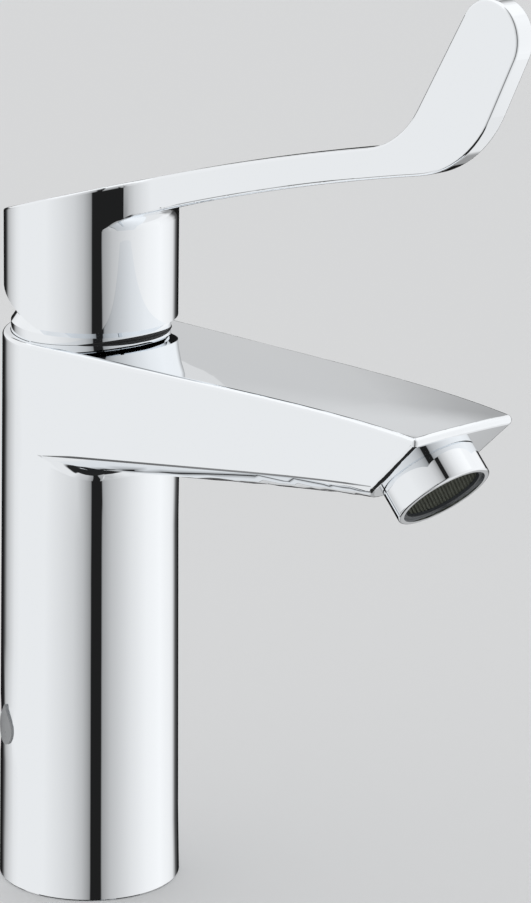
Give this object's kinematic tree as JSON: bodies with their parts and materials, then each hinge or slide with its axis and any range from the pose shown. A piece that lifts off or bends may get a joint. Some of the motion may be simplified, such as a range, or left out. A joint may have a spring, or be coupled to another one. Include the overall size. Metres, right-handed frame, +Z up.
{
  "type": "single-lever basin mixer",
  "caption": "Deck-mounted single-lever basin mixer: slim round column, long straight spout with tilted outlet, and a thin lever that ends in an upright paddle.",
  "frame": {"origin": "on the column's axis, in the plane of the column's foot where it stands on the basin", "axes": "+Z up along the column, -Y the way the spout points, +X to the tap's left as seen from its front, so the side turned to the camera in the picture is -X"},
  "size_m": [0.049, 0.1762, 0.3292],
  "materials": {
    "chrome": "polished",
    "plug_grey": "gloss",
    "rubber": "matte",
    "brass": "satin",
    "steel": "satin",
    "cartridge_plastic": "matte",
    "guide_plastic": "matte",
    "ceramic": "satin",
    "outlet_plastic": "matte",
    "screen_mesh": "satin"
  },
  "bodies": {
    "tap_body": {"body": "chrome", "side_plug": "plug_grey", "base_seal": "rubber", "foot_plate": "brass", "fixing_stud": "steel", "clamp_gasket": "rubber", "clamp_plate": "steel", "clamp_nut": "brass", "cartridge_base": "cartridge_plastic", "port_seals": "rubber", "fixed_disc": "ceramic", "cartridge_housing": "cartridge_plastic", "cartridge_nut": "brass", "glide_ring": "rubber", "dome_cap": "chrome", "aerator_ring": "chrome", "aerator_seal": "rubber", "aerator_insert": "outlet_plastic", "flow_diffuser": "outlet_plastic", "aerator_screen": "screen_mesh"},
    "rotor": {"spindle_guide": "guide_plastic", "spindle_pin": "steel"},
    "lever_assembly": {"lever": "chrome", "spindle": "steel", "lever_screw": "steel", "screw_plug": "plug_grey"},
    "disc_slider": {"disc_carrier": "cartridge_plastic", "moving_disc": "ceramic"}
  },
  "joints": [
    {"name": "lever_turn", "type": "hinge", "parent": "tap_body", "child": "rotor", "pos_m": [0, 0, 0.158], "axis": [0, 0, 1], "range_deg": [-50, 50]},
    {"name": "lever_lift", "type": "hinge", "parent": "rotor", "child": "lever_assembly", "pos_m": [0, 0, 0.158], "axis": [-1, 0, 0], "range_deg": [0, 20]},
    {"name": "disc_slide", "type": "slide", "parent": "rotor", "child": "disc_slider", "axis": [0, -1, 0], "range_m": [0, 0.00435]}
  ],
  "couplings": [
    {"joint": "disc_slide", "follows": "lever_lift", "m_per_rad": 0.01244}
  ]
}
